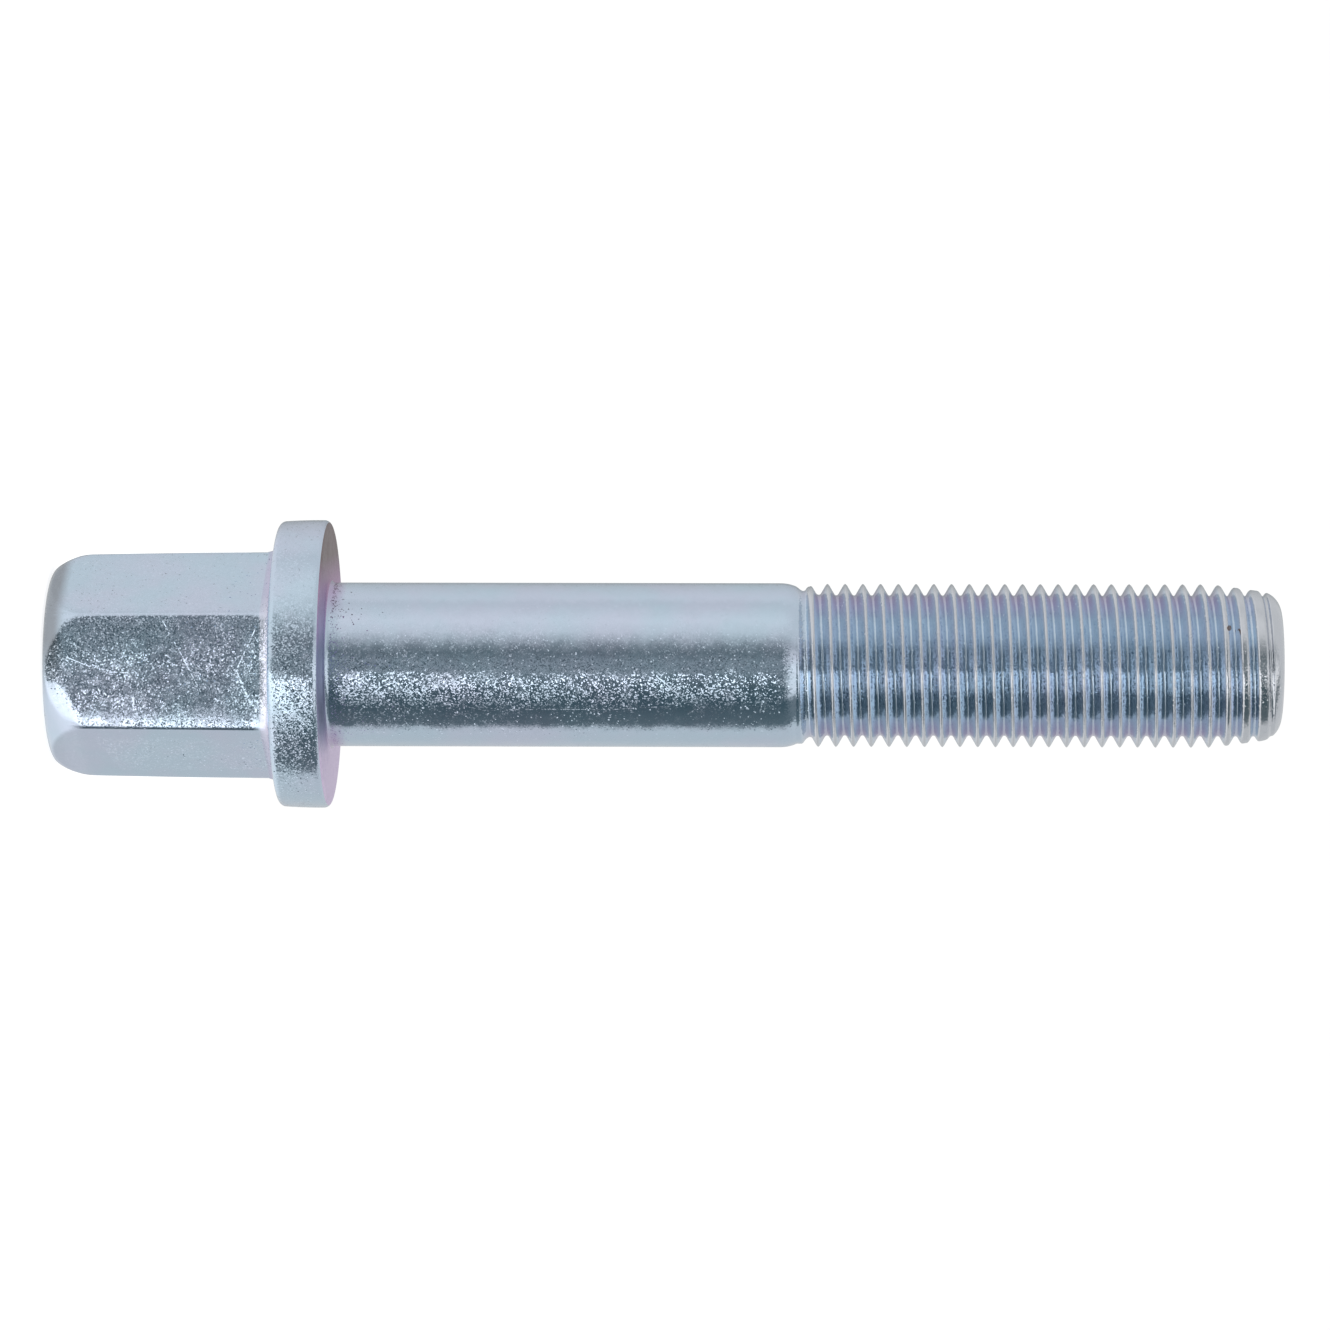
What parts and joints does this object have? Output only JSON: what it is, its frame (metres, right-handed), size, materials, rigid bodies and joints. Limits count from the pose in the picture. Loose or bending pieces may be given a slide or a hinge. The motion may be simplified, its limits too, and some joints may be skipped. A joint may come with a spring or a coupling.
{
  "type": "hex collar bolt",
  "caption": "Long forged bolt with a tall rounded-end hex head, a plain round collar, a bare shank and a fine right-hand thread on its end.",
  "frame": {"origin": "on the axis, at the head's end face, on which the bolt stands", "axes": "+Z along the bolt's axis from the head to the thread's tip; two flats of the hex face +Y and -Y"},
  "size_m": [0.0244, 0.0244, 0.104],
  "materials": {
    "zinc_steel": "bright zinc plate with a clear blue passivation, light handling marks"
  },
  "bodies": {
    "root": {"bolt": "zinc_steel"}
  },
  "joints": []
}
